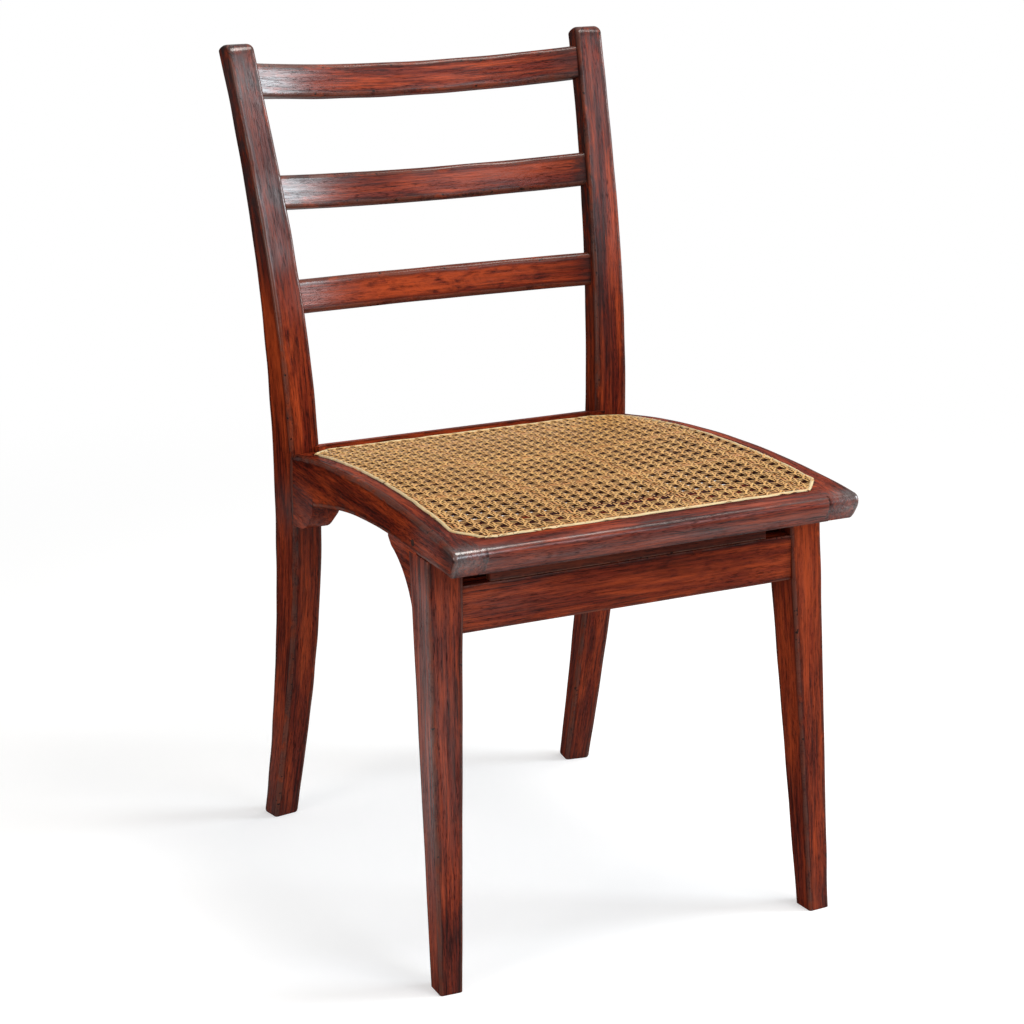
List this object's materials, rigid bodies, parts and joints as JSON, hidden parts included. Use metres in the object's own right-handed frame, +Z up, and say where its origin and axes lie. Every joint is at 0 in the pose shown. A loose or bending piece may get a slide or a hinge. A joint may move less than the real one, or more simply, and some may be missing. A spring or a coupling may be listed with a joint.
{
  "type": "ladderback chair",
  "caption": "Armless ladderback dining chair in dark hardwood, bowed back slats between sabre-shaped posts, and a crowned cane seat over splayed front legs.",
  "frame": {"origin": "on the floor under the middle of the chair's box", "axes": "+X to the right of someone facing the chair's front, +Y towards the back, +Z up"},
  "size_m": [0.4494, 0.5842, 0.868],
  "materials": {
    "frame_wood": "dark red-brown hardwood, worn satin polish",
    "strip_wood": "dark red-brown hardwood, worn satin polish",
    "peg_wood": "dark end grain",
    "cane": "natural cane, varnished",
    "cane_spline": "natural reed, pale"
  },
  "bodies": {
    "root": {"back_post_right": "frame_wood", "back_post_left": "frame_wood", "top_back_rail": "frame_wood", "middle_back_slat": "frame_wood", "lower_back_slat": "frame_wood", "seat_side_rail_right": "frame_wood", "seat_side_rail_left": "frame_wood", "seat_front_rail": "frame_wood", "seat_back_rail": "frame_wood", "front_leg_right": "frame_wood", "front_leg_left": "frame_wood", "front_apron": "frame_wood", "rear_corbel_right": "frame_wood", "rear_corbel_left": "frame_wood", "knee_bracket_right": "frame_wood", "knee_bracket_left": "frame_wood", "front_spacer_strip": "strip_wood", "joint_pegs": "peg_wood", "cane_panel": "cane", "cane_spline": "cane_spline"}
  },
  "joints": []
}
